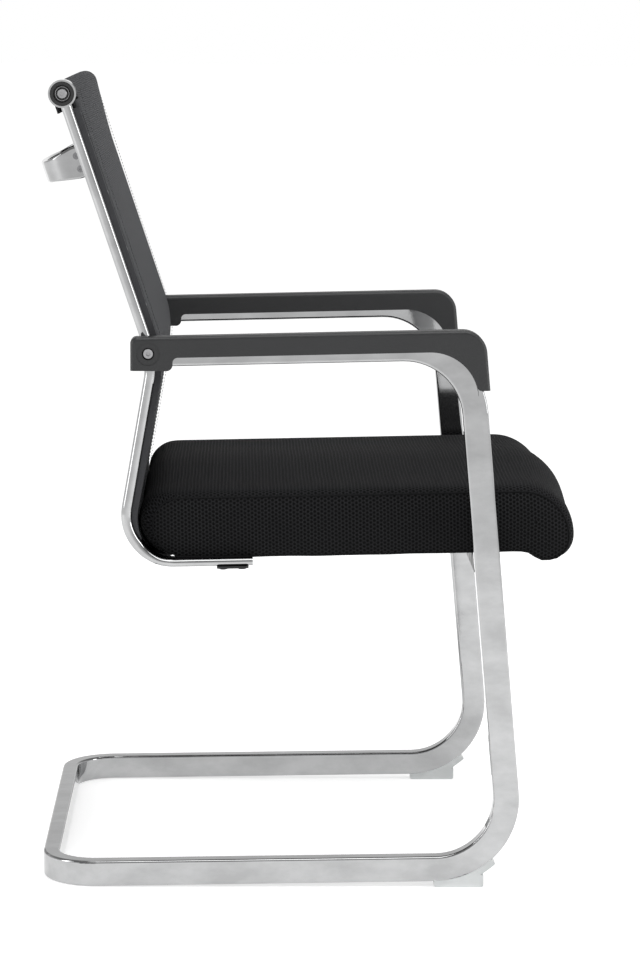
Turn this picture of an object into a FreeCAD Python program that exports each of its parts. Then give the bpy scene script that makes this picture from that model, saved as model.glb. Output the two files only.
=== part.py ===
import FreeCAD, Part
import math
import os

# A cantilever visitor chair. Millimetres. X runs across the chair, the front is -Y, up is +Z and
# the floor is Z = 0. Y = 0 is the middle of the whole depth, from the seat's nose to the handle.

# Whole chair
overall_depth = 642.0
frame_width = 560.0
handle_overhang = 10.0

# Cantilever frame: one rectangular tube on each side, bent three times
tube_height = 30.0
tube_width = 20.0
tube_wall = 1.5
tube_corner = 3.0
bend_radius = 83.0
rear_corner_radius = 56.0
upright_lean = 5.4
rail_rise = 1.5
glide_thick = 7.0
nose_past_front_bend = 78.5
joint_sleeve_length = 90.0

# Arm joint: the bolt that holds arm rail and back tube together
arm_bolt_height = 628.5
rail_end_past_bolt = 13.0
arm_bolt_radius = 4.0
arm_bolt_head_radius = 6.2
arm_bolt_head_length = 7.0
arm_bush_radius = 8.6
arm_bolt_tail = 9.0
arm_nut_across = 13.0
arm_nut_height = 6.5
arm_nut_dome_radius = 6.0
arm_washer_radius = 8.0
arm_washer_thick = 1.5
hole_clearance = 0.2

# Arm pads
pad_wall = 3.0
pad_top_thick = 4.2
pad_skirt_above_rail_bottom = 10.0
pad_front_corner_radius = 28.0
pad_front_drop = 55.0
pad_rear_past_bolt = 20.5
pad_boss_front = 28.0
pad_boss_drop = 19.5
pad_edge_radius = 4.5
pad_inner_corner_radius = 56.0
pad_dish_radius = 13.5
pad_dish_depth = 1.0
pad_rib_thick = 2.0
pad_rib_spacing = 22.0
pad_rib_length = 80.0
pad_screw_stations = (60.0, 215.0)
pad_screw_radius = 2.0
pad_screw_head_radius = 4.0
pad_screw_head_thick = 1.8
pad_screw_room = 0.6
pad_screw_bite = 2.7

# Back tubes: flat oval section, kinked at the arm, pressed flat under the seat
back_tube_thick = 13.0
back_tube_wide = 28.0
back_tube_wall = 1.5
back_recline = 18.8
kink_below_bolt = 8.5
kink_radius = 110.0
lower_lean = 9.7
low_bend_radius = 54.0
pressed_thick = 9.0
pressed_wide = 31.0
press_start_turn = 50.0
press_turn = 30.0
flat_end_length = 157.187

# Top of the back
boss_height = 923.0
boss_from_rear = 27.483
boss_radius = 16.0
boss_wall = 2.0
top_bar_radius = 11.0
top_bar_wall = 1.5
top_bar_bow = 14.0
top_bar_crown = 2.5
top_washer_radius = 9.0
top_washer_thick = 1.5
top_bolt_radius = 4.0
top_bolt_head_radius = 5.8
top_bolt_head_length = 4.0
top_bolt_length = 38.0
top_recess = 6.5
top_insert_length = 17.0

# Mesh of the back and its edges
mesh_thick = 4.0
mesh_roll_thick = 3.2
mesh_tail = 20.5
edge_profile_thick = 6.5
edge_profile_wide = 14.0
edge_cord_radius = 1.5
edge_cord_inset = 3.5
edge_start_below_boss = 20.0
edge_end_turn = 33.0
mesh_bend_radius = 60.0
mesh_bend_lag = 3.0
mesh_end_turn = 60.0
hem_bar_thick = 2.2
hem_bar_turn = 18.0
rivet_radius = 2.0
rivet_count = 4

# Handle behind the back, and the cross tube that carries it
handle_below_boss = 78.0
handle_width = 300.0
handle_run_radius = 900.0
handle_thick = 8.0
handle_root_tall = 38.0
handle_rear_tall = 26.5
handle_root_start = 7.0
handle_corner_radius = 28.0
handle_edge_radius = 2.5
cross_tube_radius = 6.4
cross_tube_wall = 1.2
bracket_thick = 3.0
bracket_reach = 23.0
bracket_tall = 30.0
handle_screw_radius = 2.5
handle_screw_head_radius = 4.2
handle_screw_head_thick = 1.8
handle_screw_reach = 14.0
handle_screw_spacing = 16.0

# Seat
seat_slope = 1.35
seat_plane_height = 388.0
seat_side_gap = 17.0
seat_side_swell = 5.0
seat_rear_reach = 131.0
seat_thick = 76.5
seat_crown = 7.0
seat_front_bow = 7.0
seat_nose_drop = 11.7
seat_edge_round = 18.0
seat_seam_rear = 19.5
seat_seam_top = 8.5
seat_seam_front = 9.5
seat_cover_thick = 2.5
board_thick = 12.0
board_margin = 3.0
board_front_inset = 72.0
board_rear_inset = 44.0
board_corner_radius = 40.0
dust_cover_margin = 16.0

# Under the seat
cross_member_deep = 30.0
cross_member_tall = 20.0
mount_plate_thick = 3.0
mount_plate_wide = 60.0
mount_plate_deep = 74.0
mount_plate_from_side = 93.0
seat_bolt_radius = 3.0
seat_bolt_head_radius = 5.0
seat_bolt_head_length = 4.5
front_bolt_spacing = 52.0
rear_bolt_spacing = 22.0
rear_bolt_inward = 8.0
clamp_plate_thick = 2.5
clamp_plate_long = 37.0
clamp_plate_wide = 34.0
clamp_plate_from_end = 5.0
nut_barrel_radius = 4.2
nut_flange_radius = 6.8
nut_flange_thick = 1.4

# Floor glides
glide_rear_length = 58.0
glide_wing_thick = 6.5
glide_wing_turn = 42.0
glide_pin_radius = 3.0
glide_pin_length = 10.0

# Places that follow from the sizes above
rear_y = overall_depth / 2 - handle_overhang
rail_x = frame_width / 2 - tube_width / 2
front_bend_from_rear = rear_y + overall_depth / 2 - nose_past_front_bend
front_bend_y = rear_y - front_bend_from_rear
seat_width = frame_width - 2 * (tube_width + seat_side_gap)
mount_plate_from_middle = seat_width / 2 - mount_plate_from_side
handle_height = boss_height - handle_below_boss
pad_half = tube_width / 2 + pad_wall
back_tube_x = rail_x - pad_half - back_tube_wide / 2
back_inner_x = back_tube_x - back_tube_wide / 2
base_tilt = math.degrees(math.atan(glide_thick / (front_bend_from_rear - bend_radius)))
mesh_half = back_tube_x - edge_profile_wide / 2
mesh_front = back_tube_thick / 2 + edge_profile_thick
mesh_back = mesh_front - mesh_thick


def point(x, yz):
    return FreeCAD.Vector(x, yz[0], yz[1])


def along(start, heading, length):
    """The point that lies a length from start, with the heading in degrees from +Y towards +Z."""
    angle = math.radians(heading)
    return (start[0] + length * math.cos(angle), start[1] + length * math.sin(angle))


def crossing(first, first_heading, second, second_heading):
    """Where two lines of the side view meet."""
    a = math.radians(first_heading)
    b = math.radians(second_heading)
    across = math.cos(a) * math.sin(b) - math.sin(a) * math.cos(b)
    gap = (second[0] - first[0], second[1] - first[1])
    length = (gap[0] * math.sin(b) - gap[1] * math.cos(b)) / across
    return along(first, first_heading, length)


def distance(first, second):
    return math.hypot(second[0] - first[0], second[1] - first[1])


def track_edges(x, start, heading, steps, offset=0.0):
    """Side view path of runs and tangent bends. The offset lies to the right of the heading."""
    here = along(start, heading - 90, offset)
    edges = []
    for kind, size, turn in steps:
        if kind == "run":
            there = along(here, heading, size)
            edges.append(Part.LineSegment(point(x, here), point(x, there)).toShape())
        else:
            side = 1 if turn > 0 else -1
            radius = size + side * offset
            centre = along(here, heading + 90 * side, radius)
            middle = along(centre, heading - 90 * side + turn / 2, radius)
            there = along(centre, heading - 90 * side + turn, radius)
            edges.append(Part.Arc(point(x, here), point(x, middle), point(x, there)).toShape())
            heading = heading + turn
        here = there
    return edges, here, heading


def tangent_run(radius, turn):
    return radius * math.tan(math.radians(abs(turn)) / 2)


def rounded_polygon(corners, radii, place):
    """Closed wire with tangent arcs at its corners. place turns a 2D corner into a 3D point."""
    count = len(corners)
    starts = []
    ends = []
    middles = []
    for index in range(count):
        corner = FreeCAD.Vector(corners[index][0], corners[index][1], 0)
        before = FreeCAD.Vector(*corners[index - 1], 0) - corner
        after = FreeCAD.Vector(*corners[(index + 1) % count], 0) - corner
        half = before.getAngle(after) / 2
        before.normalize()
        after.normalize()
        cut = radii[index] / math.tan(half)
        bisector = before + after
        bisector.normalize()
        depth = radii[index] / math.sin(half) - radii[index]
        starts.append(corner + before * cut)
        ends.append(corner + after * cut)
        middles.append(corner + bisector * depth)
    edges = []
    for index in range(count):
        start = place(starts[index].x, starts[index].y)
        end = place(ends[index].x, ends[index].y)
        if radii[index] > 0:
            middle = place(middles[index].x, middles[index].y)
            edges.append(Part.Arc(start, middle, end).toShape())
        following = starts[(index + 1) % count]
        edges.append(Part.LineSegment(end, place(following.x, following.y)).toShape())
    return Part.Wire(edges)


def rectangle_section(centre, across, up, width, height, radius):
    corners = [(-width / 2, -height / 2), (width / 2, -height / 2),
               (width / 2, height / 2), (-width / 2, height / 2)]
    return rounded_polygon(corners, [radius] * 4, lambda a, b: centre + across * a + up * b)


def oval_section(centre, across, up, wide, thick):
    """Flat oval: two straight sides and two round ends."""
    straight = wide / 2 - thick / 2
    half = thick / 2
    side = [centre + across * straight + up * half, centre + across * (straight + half),
            centre + across * straight - up * half]
    other = [centre - across * straight - up * half, centre - across * (straight + half),
             centre - across * straight + up * half]
    return Part.Wire([Part.LineSegment(other[2], side[0]).toShape(), Part.Arc(*side).toShape(),
                      Part.LineSegment(side[2], other[0]).toShape(), Part.Arc(*other).toShape()])


def circle_section(centre, normal, radius):
    return Part.Wire([Part.Circle(centre, normal, radius).toShape()])


def sweep(edges, section):
    return Part.Wire(edges).makePipeShell([section], True, False)


def prism(wire, x_low, x_high):
    """Side view outline, drawn at x = 0, made solid between two stations of X."""
    face = Part.Face(wire)
    solid = face.extrude(FreeCAD.Vector(x_high - x_low, 0, 0))
    solid.translate(FreeCAD.Vector(x_low, 0, 0))
    return solid


def side_outline(corners, radii):
    return rounded_polygon(corners, radii, lambda y, z: FreeCAD.Vector(0, y, z))


def rod(start, direction, length, radius):
    return Part.makeCylinder(radius, length, start, direction)


def hexagon(start, direction, length, across_flats):
    blank = Part.makePolygon([FreeCAD.Vector(math.cos(math.radians(60 * turn)),
                                             math.sin(math.radians(60 * turn)), 0)
                              * (across_flats / math.sqrt(3)) for turn in range(7)])
    solid = Part.Face(blank).extrude(FreeCAD.Vector(0, 0, length))
    solid.Placement = FreeCAD.Placement(start, FreeCAD.Rotation(FreeCAD.Vector(0, 0, 1), direction))
    return solid


def socket_bolt(under_head, direction, length, radius, head_radius, head_length, socket):
    """Cap screw: the shank runs along the direction, the head stands behind under_head."""
    shank = rod(under_head, direction, length, radius)
    head = rod(under_head - direction * head_length, direction, head_length, head_radius)
    rim = [edge for edge in head.Edges
           if edge.Closed and (edge.CenterOfMass - under_head).Length > head_length / 2]
    head = head.makeChamfer(head_radius * 0.12, rim)
    drive = hexagon(under_head - direction * head_length, direction, head_length * 0.6, socket)
    return head.fuse(shank).cut(drive).removeSplitter()


def mirrored(shape):
    return shape.mirror(FreeCAD.Vector(0, 0, 0), FreeCAD.Vector(1, 0, 0))


def both_sides(shape):
    return Part.makeCompound([shape, mirrored(shape)])


def save(name, shape):
    shape.exportStep("parts/" + name + ".step")


X = FreeCAD.Vector(1, 0, 0)


def direction_of(heading):
    return point(0, along((0, 0), heading, 1))


# The back tube's kink beside the arm bolt, and the bolt, which lies below the top boss

recline_heading = 270 - back_recline
lower_heading = 270 + lower_lean
recline_normal = recline_heading - 90
recline_up = recline_heading + 180
kink_turn = lower_heading - recline_heading
kink_reach = (tangent_run(kink_radius, kink_turn)
              - kink_below_bolt / math.cos(math.radians(back_recline)))
kink_depth = kink_radius - math.sqrt(kink_radius ** 2 - kink_reach ** 2)
boss_centre = (rear_y - boss_from_rear, boss_height)
back_point = along(boss_centre, recline_normal, -kink_depth)
arm_bolt = crossing(back_point, recline_heading, (0.0, arm_bolt_height), 0)
arm_bolt_y = arm_bolt[0]


# The frame's side path, from the arm rail's end to the rear corner

rail_heading = 180 - rail_rise
upright_heading = 270 - upright_lean
runner_heading = 360 - base_tilt
rail_end = along(arm_bolt, rail_heading, -rail_end_past_bolt)
base_edge = (rear_y, 0.0)
runner_rear = along(base_edge, runner_heading + 90, tube_height / 2)
low_corner = crossing(runner_rear, runner_heading, (front_bend_y, 0.0), 90)
high_corner = crossing(low_corner, upright_heading, arm_bolt, rail_heading)
rail_turn = upright_heading - rail_heading
runner_turn = runner_heading - upright_heading
rail_run = distance(rail_end, high_corner) - tangent_run(bend_radius, rail_turn)
upright_run = (distance(high_corner, low_corner) - tangent_run(bend_radius, rail_turn)
               - tangent_run(bend_radius, runner_turn))
rear_inset = tube_width / 2 + rear_corner_radius
runner_run = (distance(low_corner, runner_rear) - tangent_run(bend_radius, runner_turn)
              - rear_inset)
frame_steps = [("run", rail_run, 0), ("bend", bend_radius, rail_turn), ("run", upright_run, 0),
               ("bend", bend_radius, runner_turn), ("run", runner_run, 0)]


def frame_solid(shrink=0.0):
    """One side frame as a filled tube, up to the middle of the rear bar."""
    edges, corner_start, _ = track_edges(rail_x, rail_end, rail_heading, frame_steps)
    start = point(rail_x, corner_start)
    back = direction_of(runner_heading)
    centre = start - X * rear_corner_radius
    end = centre + back * rear_corner_radius
    middle = centre + (X + back) * (rear_corner_radius / math.sqrt(2))
    edges.append(Part.Arc(start, middle, end).toShape())
    edges.append(Part.LineSegment(end, FreeCAD.Vector(0, end.y, end.z)).toShape())
    across = direction_of(rail_heading - 90)
    section = rectangle_section(point(rail_x, rail_end), X, across, tube_width - 2 * shrink,
                                tube_height - 2 * shrink, max(tube_corner - shrink, 0.5))
    return sweep(edges, section)


frame_outer = frame_solid()
frame_right = frame_outer.cut(frame_solid(tube_wall))
rear_bar_middle = along(runner_rear, runner_heading, -tube_width / 2)


def joint_sleeve():
    """Sleeve inside the rear bar, across the weld between the two side frames."""
    width = tube_width - 2 * tube_wall
    height = tube_height - 2 * tube_wall
    centre = point(-joint_sleeve_length / 2, rear_bar_middle)
    back = direction_of(runner_heading)
    up = direction_of(runner_heading + 90)
    outer = Part.Face(rectangle_section(centre, back, up, width, height, 1.5))
    inner = Part.Face(rectangle_section(centre, back, up, width - 4, height - 4, 0.0))
    return outer.cut(inner).extrude(X * joint_sleeve_length)


# The back tubes' side path, from the top boss down to the flat end under the seat

flat_heading = 180 - seat_slope
back_line = along(arm_bolt, recline_normal, kink_depth)
kink_corner = crossing(back_line, recline_heading, (0.0, arm_bolt_height - kink_below_bolt), 0)
flat_drop = along((0.0, 0.0), flat_heading + 90, pressed_thick - back_tube_thick / 2)
flat_shift = along(flat_drop, flat_heading, -flat_end_length)
bend_corner = crossing(kink_corner, lower_heading, (0.0, seat_plane_height + flat_shift[1]), 0)
seat_datum = (bend_corner[0] - flat_shift[0], seat_plane_height)
flat_end = along(seat_datum, flat_heading + 90, pressed_thick / 2)
bend_line = along(flat_end, flat_heading - 90, (back_tube_thick - pressed_thick) / 2)
bend_turn = flat_heading - lower_heading
upper_run = distance(boss_centre, kink_corner) - tangent_run(kink_radius, kink_turn)
lower_run = (distance(kink_corner, bend_corner) - tangent_run(kink_radius, kink_turn)
             - tangent_run(low_bend_radius, bend_turn))
flat_run = distance(bend_corner, bend_line) - tangent_run(low_bend_radius, bend_turn)


low_bend_end = along(bend_line, flat_heading, -flat_run)
low_bend_centre = along(low_bend_end, flat_heading - 90, low_bend_radius)


def seat_place(x, forward, up):
    """Point measured from the flat tube end's top: forward along the seat plane, and up from it."""
    there = along(seat_datum, flat_heading, forward)
    return point(x, along(there, flat_heading - 90, up))


forward_way = direction_of(flat_heading)
up_way = direction_of(flat_heading - 90)


def back_tube_solid(shrink=0.0):
    """Filled tube. In the low bend it is pressed from its full thickness to the flat end."""
    steps = [("run", upper_run, 0), ("bend", kink_radius, kink_turn), ("run", lower_run, 0),
             ("bend", low_bend_radius, -press_start_turn)]
    edges, _, heading = track_edges(back_tube_x, boss_centre, recline_heading, steps)
    section = oval_section(point(back_tube_x, boss_centre), X, direction_of(recline_heading - 90),
                           back_tube_wide - 2 * shrink, back_tube_thick - 2 * shrink)
    tube = sweep(edges, section)
    last_turn = -bend_turn - press_start_turn
    turns = [press_turn * share for share in (0.0, 0.25, 0.5, 0.75, 1.0)]
    turns += [(press_turn + last_turn) / 2, last_turn]
    wires = []
    for turn in turns:
        share = min(turn / press_turn, 1.0)
        thick = back_tube_thick + (pressed_thick - back_tube_thick) * share
        wide = back_tube_wide + (pressed_wide - back_tube_wide) * share
        way = heading - turn
        centre = along(low_bend_centre, way + 90, low_bend_radius + (back_tube_thick - thick) / 2)
        wires.append(oval_section(point(back_tube_x, centre), X, direction_of(way - 90),
                                  wide - 2 * shrink, thick - 2 * shrink))
    pressed = Part.makeLoft(wires, True, False)
    flat_start = along(flat_end, flat_heading, -flat_run)
    flat = oval_section(point(back_tube_x, flat_start), X, up_way,
                        pressed_wide - 2 * shrink, pressed_thick - 2 * shrink)
    end = Part.Face(flat).extrude(forward_way * flat_run)
    return tube.fuse([pressed, end]).removeSplitter()


def boss_disc(radius, x_low, x_high):
    return rod(point(x_low, boss_centre), X, x_high - x_low, radius)


boss_out_x = back_tube_x + back_tube_wide / 2
rear_bolt_insets = [clamp_plate_from_end + (clamp_plate_long - rear_bolt_spacing) / 2,
                 clamp_plate_from_end + (clamp_plate_long + rear_bolt_spacing) / 2]


def back_tube():
    tube = back_tube_solid().cut(back_tube_solid(back_tube_wall))
    tube = tube.cut(boss_disc(boss_radius, back_inner_x - 1, boss_out_x + 1))
    hole = rod(point(back_inner_x - 1, arm_bolt), X, back_tube_wide + 2,
               arm_bolt_radius + hole_clearance)
    tube = tube.cut(hole)
    for x, forward in rear_bolt_places():
        start = seat_place(x, forward, -pressed_thick - 1)
        tube = tube.cut(rod(start, up_way, pressed_thick + 2, seat_bolt_radius + hole_clearance))
    return tube.cut(rivet_rods())


def top_boss():
    return boss_disc(boss_radius, back_inner_x, boss_out_x).cut(
        boss_disc(boss_radius - boss_wall, back_inner_x, boss_out_x))


def top_plug():
    """Black plug in the boss, with a deep recess for washer and bolt head."""
    plug = boss_disc(boss_radius - boss_wall, back_inner_x, boss_out_x - 0.6)
    recess = boss_disc(top_washer_radius + 1.2, boss_out_x - top_recess, boss_out_x + 1)
    hole = boss_disc(top_bolt_radius + hole_clearance, back_inner_x - 1, boss_out_x)
    return plug.cut(recess).cut(hole)


def top_washer():
    low = boss_out_x - top_recess
    ring = boss_disc(top_washer_radius, low, low + top_washer_thick)
    return ring.cut(boss_disc(top_bolt_radius + hole_clearance, low - 1, low + 3))


def top_bolt():
    under = point(boss_out_x - top_recess + top_washer_thick, boss_centre)
    return socket_bolt(under, X * -1, top_bolt_length, top_bolt_radius, top_bolt_head_radius,
                       top_bolt_head_length, 5.0)


# The top bar bows forward between the bosses



def bar_centre(x):
    share = 1 - (x / back_inner_x) ** 2
    bowed = along(boss_centre, recline_normal, top_bar_bow * share)
    return along(bowed, recline_up, top_bar_crown * share)


def bar_solid(radius, spare=3.0):
    """Rod along the bar's bow, running a little past the bosses' inner faces."""
    ends = [point(-back_inner_x, bar_centre(back_inner_x)), point(back_inner_x, boss_centre)]
    bow = Part.Arc(ends[0], point(0, bar_centre(0)), ends[1]).toShape()
    start_way = bow.tangentAt(bow.FirstParameter)
    end_way = bow.tangentAt(bow.LastParameter)
    start = ends[0] - start_way * spare
    edges = [Part.LineSegment(start, ends[0]).toShape(), bow,
             Part.LineSegment(ends[1], ends[1] + end_way * spare).toShape()]
    return sweep(edges, circle_section(start, start_way, radius))


def top_bar():
    ends = boss_disc(top_bar_radius + 5, -back_inner_x - 9, -back_inner_x)
    outer = bar_solid(top_bar_radius).cut([ends, mirrored(ends)])
    return outer.cut(bar_solid(top_bar_radius - top_bar_wall))


def top_insert():
    """Threaded insert that fills the bar's end. Its thread is in line with the bolt."""
    low = back_inner_x - top_insert_length
    body = bar_solid(top_bar_radius - top_bar_wall)
    body = body.common(boss_disc(top_bar_radius * 2, low, back_inner_x))
    thread_end = boss_out_x - top_recess + top_washer_thick - top_bolt_length
    return body.cut(boss_disc(top_bolt_radius, thread_end, back_inner_x + 1))


# Mesh and its edge profiles follow the back tubes

_, kink_start, _ = track_edges(0, boss_centre, recline_heading, [("run", upper_run, 0)])
kink_centre = along(kink_start, recline_heading + 90, kink_radius)
_, lower_start, _ = track_edges(0, kink_start, recline_heading, [("bend", kink_radius, kink_turn)])
_, lower_end, _ = track_edges(0, lower_start, lower_heading, [("run", lower_run, 0)])
mesh_bend_start = along(along(lower_end, lower_heading - 90, mesh_front), lower_heading,
                        mesh_bend_lag)


def arc_about(x, centre, radius, start_angle, end_angle):
    places = [along(centre, angle, radius)
              for angle in (start_angle, (start_angle + end_angle) / 2, end_angle)]
    return Part.Arc(*[point(x, place) for place in places]).toShape(), places[0], places[2]


def mesh_foot(x, offset):
    """Lower bend of the mesh, at an offset in front of its front face."""
    edges, end, _ = track_edges(x, mesh_bend_start, lower_heading,
                                [("bend", mesh_bend_radius, -mesh_end_turn)], offset)
    return edges[0], along(mesh_bend_start, lower_heading - 90, offset), end


def panel_angle(centre, roll, reach):
    """Heading square to the panel's face, tangent to the roll on the bar and to the kink."""
    apart = distance(centre, kink_centre)
    up_angle = math.degrees(math.atan2(centre[1] - kink_centre[1], centre[0] - kink_centre[0]))
    return up_angle + math.degrees(math.acos((reach - roll) / apart))


def mesh_station(x):
    """Closed side view of the mesh at one station: roll over the bar, panel, kink and foot."""
    centre = bar_centre(x)
    roll = top_bar_radius + mesh_roll_thick
    low_angle = lower_heading - 90
    front = panel_angle(centre, roll, kink_radius + mesh_front)
    over_back, behind, over = arc_about(x, centre, roll, front - 180, front - 90)
    over_front, _, tangent_front = arc_about(x, centre, roll, front - 90, front)
    kink_face, kink_high, kink_low = arc_about(x, kink_centre, kink_radius + mesh_front,
                                               front, low_angle)
    kink_rear, rear_high, rear_low = arc_about(x, kink_centre, kink_radius + mesh_back,
                                               front, low_angle)
    foot_face, foot_high, foot_low = mesh_foot(x, 0.0)
    foot_rear, heel_high, heel_low = mesh_foot(x, -mesh_thick)
    tail = along(centre, front + 90, mesh_tail)
    under = along(along(tangent_front, front + 180, mesh_thick), front + 90, roll)
    lines = [(tangent_front, kink_high), (kink_low, foot_high), (foot_low, heel_low),
             (heel_high, rear_low), (rear_high, under), (under, tail), (tail, behind)]
    straight = [Part.LineSegment(point(x, a), point(x, b)).toShape() for a, b in lines]
    return Part.Wire([over_back, over_front, straight[0], kink_face, straight[1], foot_face,
                      straight[2], foot_rear, straight[3], kink_rear] + straight[4:])


def tube_room():
    """Space beside the mesh that the boss, the upper tube and the low bend take up."""
    rear = mesh_back - 0.5
    top = along(boss_centre, recline_up, 2 * boss_radius)
    foot = along(boss_centre, recline_heading, 3 * edge_start_below_boss)
    behind = -4 * boss_radius
    corners = [along(top, recline_normal, rear), along(top, recline_normal, behind),
               along(foot, recline_normal, behind), along(foot, recline_normal, rear)]
    room = prism(side_outline(corners, [0, 0, 0, 0]), back_inner_x, frame_width / 2)
    boss = boss_disc(boss_radius, back_inner_x, frame_width / 2)
    reach = 2 * low_bend_radius
    low = seat_plane_height - low_bend_radius
    bend = Part.makeBox(2 * pressed_wide, 2 * reach, mesh_bend_start[1] - low,
                        FreeCAD.Vector(back_tube_x - pressed_wide / 2,
                                       mesh_bend_start[0] - reach, low))
    return room.fuse([boss, bend])


def back_mesh():
    stations = [mesh_half * share for share in (-1, -0.66, -0.33, 0, 0.33, 0.66, 1)]
    body = Part.makeLoft([mesh_station(x) for x in stations], True, False)
    room = tube_room()
    return body.cut([bar_solid(top_bar_radius), room, mirrored(room)])


def edge_outline():
    """Side view of the edge profile, between the back tube's front and the mesh's front."""
    start = along(boss_centre, recline_heading, edge_start_below_boss)
    front = along(start, recline_normal, mesh_front)
    rear = along(start, recline_normal, back_tube_thick / 2)
    low = lower_heading - 90
    kink_face, a, b = arc_about(0, kink_centre, kink_radius + mesh_front, recline_normal, low)
    kink_rear, c, d = arc_about(0, kink_centre, kink_radius + back_tube_thick / 2,
                                recline_normal, low)
    face, face_end, _ = track_edges(0, mesh_bend_start, lower_heading,
                                    [("bend", mesh_bend_radius, -edge_end_turn)])
    bend_start = along(lower_end, lower_heading - 90, back_tube_thick / 2)
    back, back_end, _ = track_edges(0, lower_end, lower_heading,
                                    [("bend", low_bend_radius, -edge_end_turn)],
                                    back_tube_thick / 2)
    lines = [(rear, front), (front, a), (b, mesh_bend_start), (face_end, back_end),
             (bend_start, d), (c, rear)]
    straight = [Part.LineSegment(point(0, p), point(0, q)).toShape() for p, q in lines]
    return Part.Wire([straight[0], straight[1], kink_face, straight[2], face[0], straight[3],
                      back[0], straight[4], kink_rear, straight[5]])


def edge_cord():
    """Cord of the mesh's border, held in the profile's groove down to the low bend."""
    reach = back_tube_thick / 2 + edge_profile_thick / 2
    start = along(boss_centre, recline_heading, edge_start_below_boss + 4)
    steps = [("run", upper_run - edge_start_below_boss - 4, 0), ("bend", kink_radius, kink_turn),
             ("run", lower_run, 0)]
    x = mesh_half + edge_cord_inset
    edges, _, _ = track_edges(x, start, recline_heading, steps, reach)
    here = along(start, recline_normal, reach)
    return sweep(edges, circle_section(point(x, here), direction_of(recline_heading),
                                       edge_cord_radius))


def edge_profile():
    half = edge_profile_wide / 2
    body = prism(edge_outline(), back_tube_x - half, back_tube_x + half)
    return body.cut([edge_cord()] + rivet_rods())


def rivet_rods():
    rods = []
    spacing = (upper_run - edge_start_below_boss) / rivet_count
    for number in range(rivet_count):
        drop = edge_start_below_boss + spacing * (number + 0.5)
        place = along(boss_centre, recline_heading, drop)
        start = along(place, recline_normal, back_tube_thick / 2 - back_tube_wall)
        x = back_tube_x + edge_profile_wide / 4
        rods.append(rod(point(x, start), direction_of(recline_normal),
                        edge_profile_thick + back_tube_wall, rivet_radius))
    return rods


def hem_bar():
    """Steel strip behind the foot of the mesh, welded between the back tubes."""
    foot_centre = along(mesh_bend_start, lower_heading - 90, mesh_bend_radius)
    end = lower_heading + 90 - mesh_end_turn
    radius = mesh_bend_radius + mesh_thick
    face, a, b = arc_about(0, foot_centre, radius, end, end + hem_bar_turn)
    rear, c, d = arc_about(0, foot_centre, radius + hem_bar_thick, end, end + hem_bar_turn)
    wire = Part.Wire([face, Part.LineSegment(point(0, b), point(0, d)).toShape(), rear,
                      Part.LineSegment(point(0, c), point(0, a)).toShape()])
    tube = back_tube_solid()
    return prism(wire, -back_inner_x, back_inner_x).cut([tube, mirrored(tube)])


# Handle, carried behind the back on brackets of the cross tube

handle_root = crossing(back_line, recline_heading, (0.0, handle_height), 0)
reach_heading = recline_heading + 90
reach_way = direction_of(reach_heading)
tall_way = direction_of(recline_up)


recline = math.radians(back_recline)
rear_tall = handle_rear_tall / 2 - handle_edge_radius
handle_reach = ((overall_depth / 2 - handle_edge_radius - handle_root[0]
                 - rear_tall * math.sin(recline)) / math.cos(recline) + handle_edge_radius)


def handle_place(x, reach, tall):
    return point(x, handle_root) + reach_way * reach + tall_way * tall


def handle_plan():
    """Centre line of the handle, from the middle of its rear run to the end of one arm."""
    half = handle_width / 2 - handle_thick / 2
    run_centre = handle_reach - handle_thick / 2 - handle_run_radius
    corner_x = half - handle_corner_radius
    corner_reach = run_centre + math.sqrt((handle_run_radius - handle_corner_radius) ** 2
                                          - corner_x ** 2)
    turn = math.atan2(corner_x, corner_reach - run_centre)
    rear = [(handle_run_radius * math.sin(angle), run_centre + handle_run_radius * math.cos(angle))
            for angle in (0.0, turn / 2, turn)]
    corner = [(corner_x + handle_corner_radius * math.sin(angle),
               corner_reach + handle_corner_radius * math.cos(angle))
              for angle in ((turn + math.pi / 2) / 2, math.pi / 2)]
    return rear, corner


def handle():
    rear, corner = handle_plan()
    flat = [handle_place(x, reach, 0) for x, reach in rear + corner]
    arm_end = handle_place(corner[1][0], handle_root_start, 0)
    edges = [Part.Arc(flat[0], flat[1], flat[2]).toShape(),
             Part.Arc(flat[2], flat[3], flat[4]).toShape(),
             Part.LineSegment(flat[4], arm_end).toShape()]
    section = rectangle_section(flat[0], reach_way, tall_way, handle_thick, handle_root_tall + 4,
                                0.0)
    half = sweep(edges, section)
    root = handle_root_tall / 2
    rear_tall = handle_rear_tall / 2
    taper_end = handle_reach - 2 * handle_thick
    corners = [(handle_root_start - 1, -root), (handle_screw_reach + 4, -root),
               (taper_end, -rear_tall), (handle_reach + 1, -rear_tall),
               (handle_reach + 1, rear_tall), (taper_end, rear_tall),
               (handle_screw_reach + 4, root), (handle_root_start - 1, root)]
    radii = [0, 30, 30, 0, 0, 30, 30, 0]
    outline = rounded_polygon(corners, radii, lambda reach, tall: handle_place(0, reach, tall))
    shape = half.common(prism(outline, -1, handle_width / 2 + 1))
    for tall in handle_screw_heights():
        shape = shape.cut(handle_screw_rod(tall, handle_screw_radius + hole_clearance))
    shape = shape.fuse(mirrored(shape)).removeSplitter()
    long_edges = [edge for edge in shape.Edges if edge.Length > 25
                  and abs(edge.tangentAt(edge.FirstParameter).dot(tall_way)) < 0.4]
    return shape.makeFillet(handle_edge_radius, long_edges)


bracket_out_x = handle_width / 2 - handle_thick


def handle_screw_heights():
    return [-handle_screw_spacing / 2, handle_screw_spacing / 2]


def handle_screw_rod(tall, radius):
    start = handle_place(bracket_out_x - bracket_thick - 2, handle_screw_reach, tall)
    return rod(start, X, handle_thick + bracket_thick + 2.5, radius)


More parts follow.
